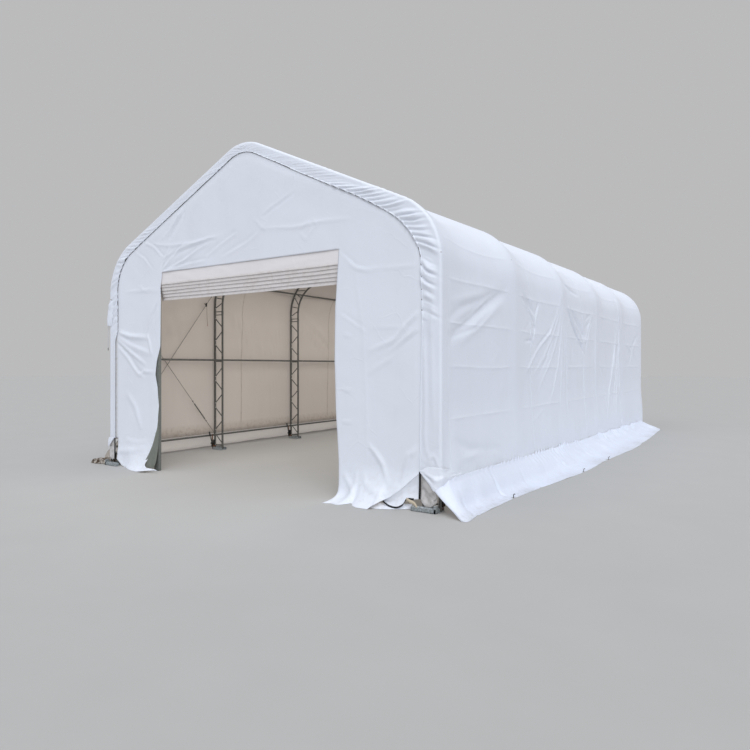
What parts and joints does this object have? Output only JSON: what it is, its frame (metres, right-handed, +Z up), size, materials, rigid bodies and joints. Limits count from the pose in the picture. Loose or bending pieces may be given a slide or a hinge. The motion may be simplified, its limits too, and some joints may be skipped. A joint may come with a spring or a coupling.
{
  "type": "fabric storage shelter",
  "caption": "Peaked storage shelter with round shoulders: white fabric stretched over lattice steel trusses, with a tall open front doorway whose cloth is drawn up.",
  "frame": {"origin": "middle of the footprint, on the ground", "axes": "+X to the right seen from the front, +Y from the doorway to the rear end, +Z up"},
  "size_m": [7.1, 11.6266, 4.6578],
  "materials": {
    "white_fabric": "coated woven sheet, satin",
    "door_fabric": "coated woven sheet, satin",
    "galvanised_steel": "galvanised, dull grey",
    "painted_steel": "dark grey-green paint",
    "ratchet_steel": "black plated steel",
    "brace_cable": "twisted wire rope",
    "rope": "braided cord and webbing"
  },
  "bodies": {
    "root": {"truss_1_left_leg": "galvanised_steel", "truss_1_left_rafter": "galvanised_steel", "truss_1_right_leg": "galvanised_steel", "truss_1_right_rafter": "galvanised_steel", "truss_2_left_leg": "galvanised_steel", "truss_2_left_rafter": "galvanised_steel", "truss_2_right_leg": "galvanised_steel", "truss_2_right_rafter": "galvanised_steel", "truss_3_left_leg": "galvanised_steel", "truss_3_left_rafter": "galvanised_steel", "truss_3_right_leg": "galvanised_steel", "truss_3_right_rafter": "galvanised_steel", "truss_4_left_leg": "galvanised_steel", "truss_4_left_rafter": "galvanised_steel", "truss_4_right_leg": "galvanised_steel", "truss_4_right_rafter": "galvanised_steel", "truss_5_left_leg": "galvanised_steel", "truss_5_left_rafter": "galvanised_steel", "truss_5_right_leg": "galvanised_steel", "truss_5_right_rafter": "galvanised_steel", "truss_6_left_leg": "galvanised_steel", "truss_6_left_rafter": "galvanised_steel", "truss_6_right_leg": "galvanised_steel", "truss_6_right_rafter": "galvanised_steel", "wall_purlin_left": "galvanised_steel", "wall_purlin_right": "galvanised_steel", "eave_purlin_left": "galvanised_steel", "eave_purlin_right": "galvanised_steel", "ridge_purlin": "galvanised_steel", "main_cover": "white_fabric", "front_gable_panel": "white_fabric", "rear_gable_panel": "white_fabric", "side_skirt_left": "white_fabric", "side_skirt_right": "white_fabric", "door_curtain": "door_fabric", "door_post_left": "painted_steel", "door_post_right": "painted_steel", "door_header": "painted_steel", "tension_tube_left": "ratchet_steel", "tension_tube_right": "ratchet_steel", "front_brace_left": "brace_cable", "front_brace_right": "brace_cable", "draw_rope_front": "rope", "draw_rope_rear": "rope", "hanging_rope": "rope", "brace_tail": "rope"}
  },
  "joints": []
}
